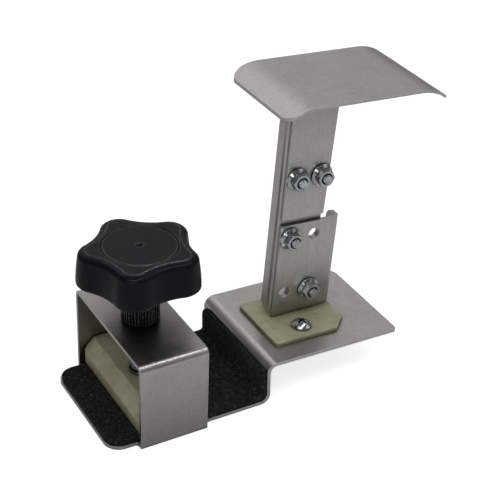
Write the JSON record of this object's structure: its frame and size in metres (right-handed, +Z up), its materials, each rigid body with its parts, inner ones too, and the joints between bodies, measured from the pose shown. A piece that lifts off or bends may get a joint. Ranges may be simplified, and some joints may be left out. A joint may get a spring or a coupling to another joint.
{
  "type": "clamp-on headphone hook",
  "caption": "Sheet-metal headphone hook: a screw clamp with a lobed knob and a padded jaw on a stepped base, and a bolted post carrying a curved headband saddle.",
  "frame": {"origin": "on the clamp screw's axis, at the underside of the base plate", "axes": "+X from the clamp towards the shelf and post, +Y to the back, +Z up along the clamp screw"},
  "size_m": [0.1563, 0.0634, 0.1307],
  "materials": {
    "stainless": "fine brushed, satin",
    "felt": "pressed wool felt",
    "nylon": "natural nylon, satin, slightly translucent",
    "knob_black": "moulded black plastic, satin",
    "collar_black": "blackened, ribbed",
    "zinc": "bright zinc plated",
    "spring_steel": "oiled spring steel",
    "brass": "machined"
  },
  "bodies": {
    "frame": {"base_plate": "stainless", "felt_pad": "felt", "clamp_bracket": "stainless", "weld_nut": "zinc", "shelf_pad": "nylon", "pad_screw": "zinc", "pad_washer": "zinc", "pad_nut": "zinc", "lower_bracket": "stainless", "upright": "stainless", "upper_plate": "stainless", "saddle": "stainless", "splice_bolts": "zinc", "splice_washers": "zinc", "splice_nuts": "zinc"},
    "jaw": {"pressure_block": "nylon", "thrust_washer": "zinc"},
    "spindle": {"clamp_screw": "zinc", "knob_grip": "knob_black", "knob_cap": "knob_black", "knob_insert": "brass", "knurled_collar": "collar_black", "retaining_clip": "spring_steel"}
  },
  "joints": [
    {"name": "jaw_lift", "type": "slide", "parent": "frame", "child": "jaw", "axis": [0, 0, 1], "range_m": [0, 0.016]},
    {"name": "knob_turn", "type": "hinge", "parent": "jaw", "child": "spindle", "pos_m": [0, 0, 0.025], "axis": [0, 0, 1], "range_deg": [0, 4620]}
  ],
  "couplings": [
    {"joint": "knob_turn", "follows": "jaw_lift", "rad_per_m": 5026.5}
  ]
}
